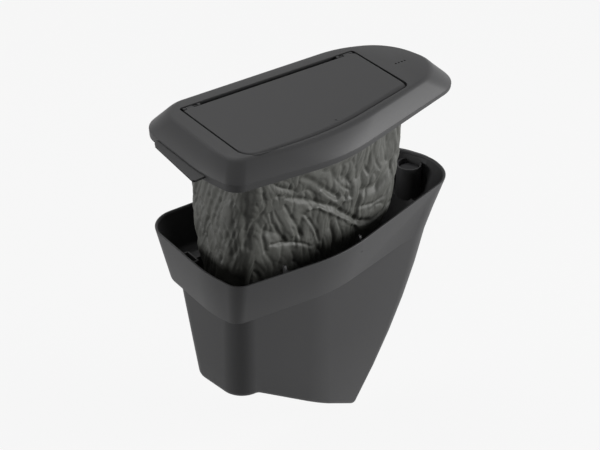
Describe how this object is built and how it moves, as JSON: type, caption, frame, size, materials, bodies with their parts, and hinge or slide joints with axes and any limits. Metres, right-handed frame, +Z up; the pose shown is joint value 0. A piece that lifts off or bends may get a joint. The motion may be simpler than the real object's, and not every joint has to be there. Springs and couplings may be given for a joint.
{
  "type": "car trash bin",
  "caption": "Car trash bin: a deep tub with a wide collar and a sloping floor, and a lift-off cover with a push-open lid flap and a hanging bag.",
  "frame": {"origin": "centre of the plane on which the lower edge of the tub's collar rests", "axes": "+X along the bin's length towards the tube end, +Y towards the flap's hinge side, +Z up"},
  "size_m": [0.3273, 0.1657, 0.3758],
  "materials": {
    "shell": "fine grain, dark grey",
    "lid": "fine grain, dark grey",
    "cushion": "matte grey",
    "button": "smooth",
    "film": "thin crumpled film",
    "rubber": "matte",
    "steel": "plain"
  },
  "bodies": {
    "tub_body": {"tub": "shell", "post_cushion": "cushion"},
    "cover_body": {"cover": "shell", "inner_frame": "shell", "bag_ring": "shell", "bag": "film", "hinge_pin_left": "steel", "hinge_pin_right": "steel", "latch_housing": "shell", "latch_spring": "steel", "frame_screws": "steel", "latch_screws": "steel", "flap_buffers": "rubber"},
    "flap_body": {"flap_panel": "lid", "flap_liner": "shell", "latch_striker": "steel", "flap_screws": "steel", "spring_left": "steel", "spring_right": "steel"},
    "plunger_body": {"latch_plunger": "button"}
  },
  "joints": [
    {"name": "cover_lift", "type": "slide", "parent": "tub_body", "child": "cover_body", "axis": [0, 0, 1], "range_m": [-0.1049, 0.055]},
    {"name": "flap_hinge", "type": "hinge", "parent": "cover_body", "child": "flap_body", "pos_m": [0, 0.0539, 0.1795], "axis": [-1, 0, 0], "range_deg": [0, 85]},
    {"name": "latch_press", "type": "slide", "parent": "cover_body", "child": "plunger_body", "axis": [0, 0, 1], "range_m": [0, 0.003], "deforming": ["latch_spring"]}
  ],
  "couplings": [
    {"joint": "latch_press", "follows": "flap_hinge", "m_per_rad": 0.002022}
  ]
}
